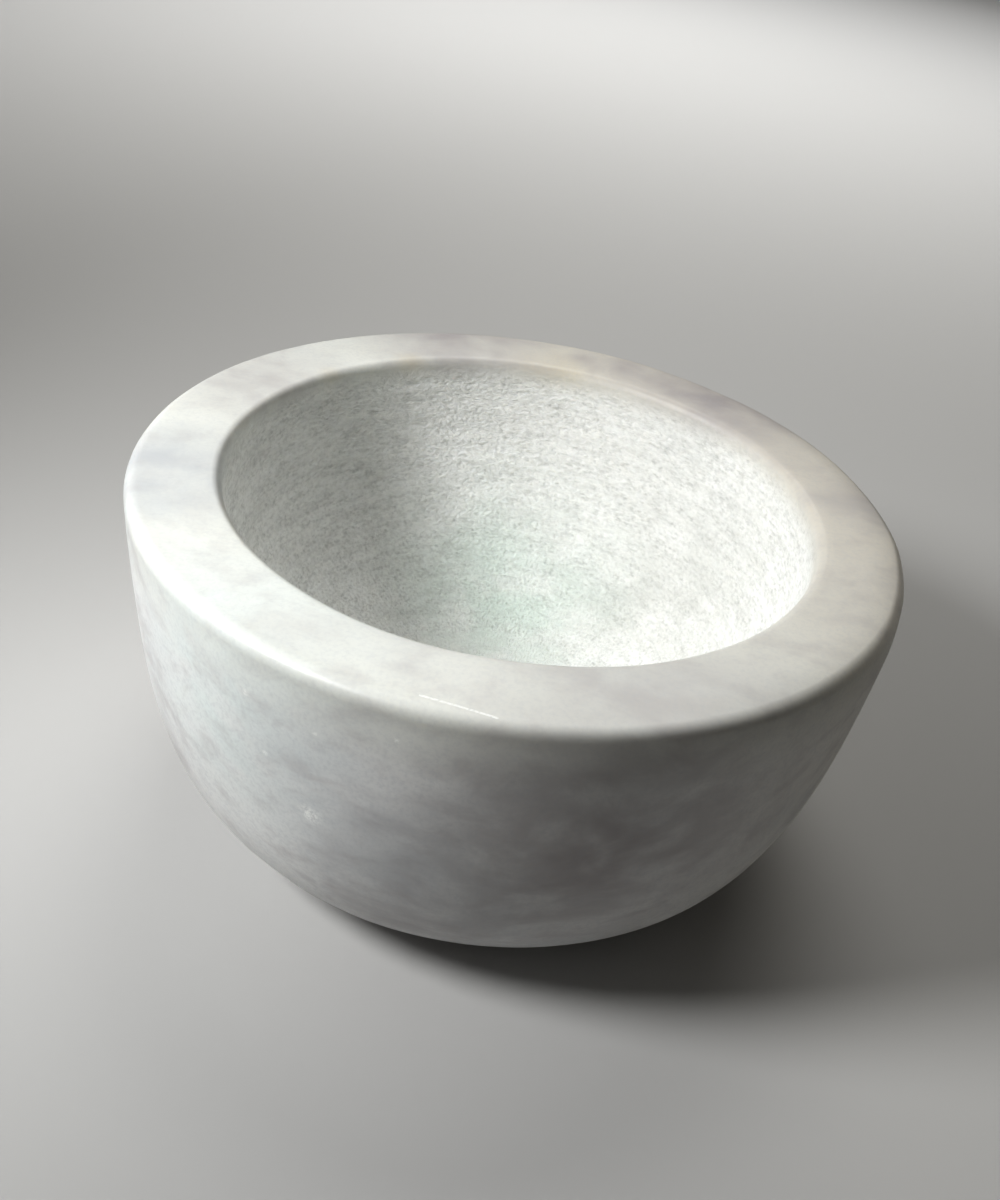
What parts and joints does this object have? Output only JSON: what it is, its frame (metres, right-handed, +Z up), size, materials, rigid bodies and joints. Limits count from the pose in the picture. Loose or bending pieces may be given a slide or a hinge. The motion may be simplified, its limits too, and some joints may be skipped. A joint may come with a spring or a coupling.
{
  "type": "shaving bowl",
  "caption": "Heavy turned marble lather bowl with a broad flat polished rim, a rounded belly, a flat foot and a deep ground cavity.",
  "frame": {"origin": "centre of the flat underside, on the surface that the bowl stands on", "axes": "+Z up along the bowl's turning axis, out of the mouth; +X and +Y are free, because the bowl is round, and the usual front view looks along +Y"},
  "size_m": [0.127, 0.127, 0.062],
  "materials": {
    "marble": "white marble with soft grey clouds, polished outside, ground inside the cavity"
  },
  "bodies": {
    "root": {"marble_bowl": "marble"}
  },
  "joints": []
}
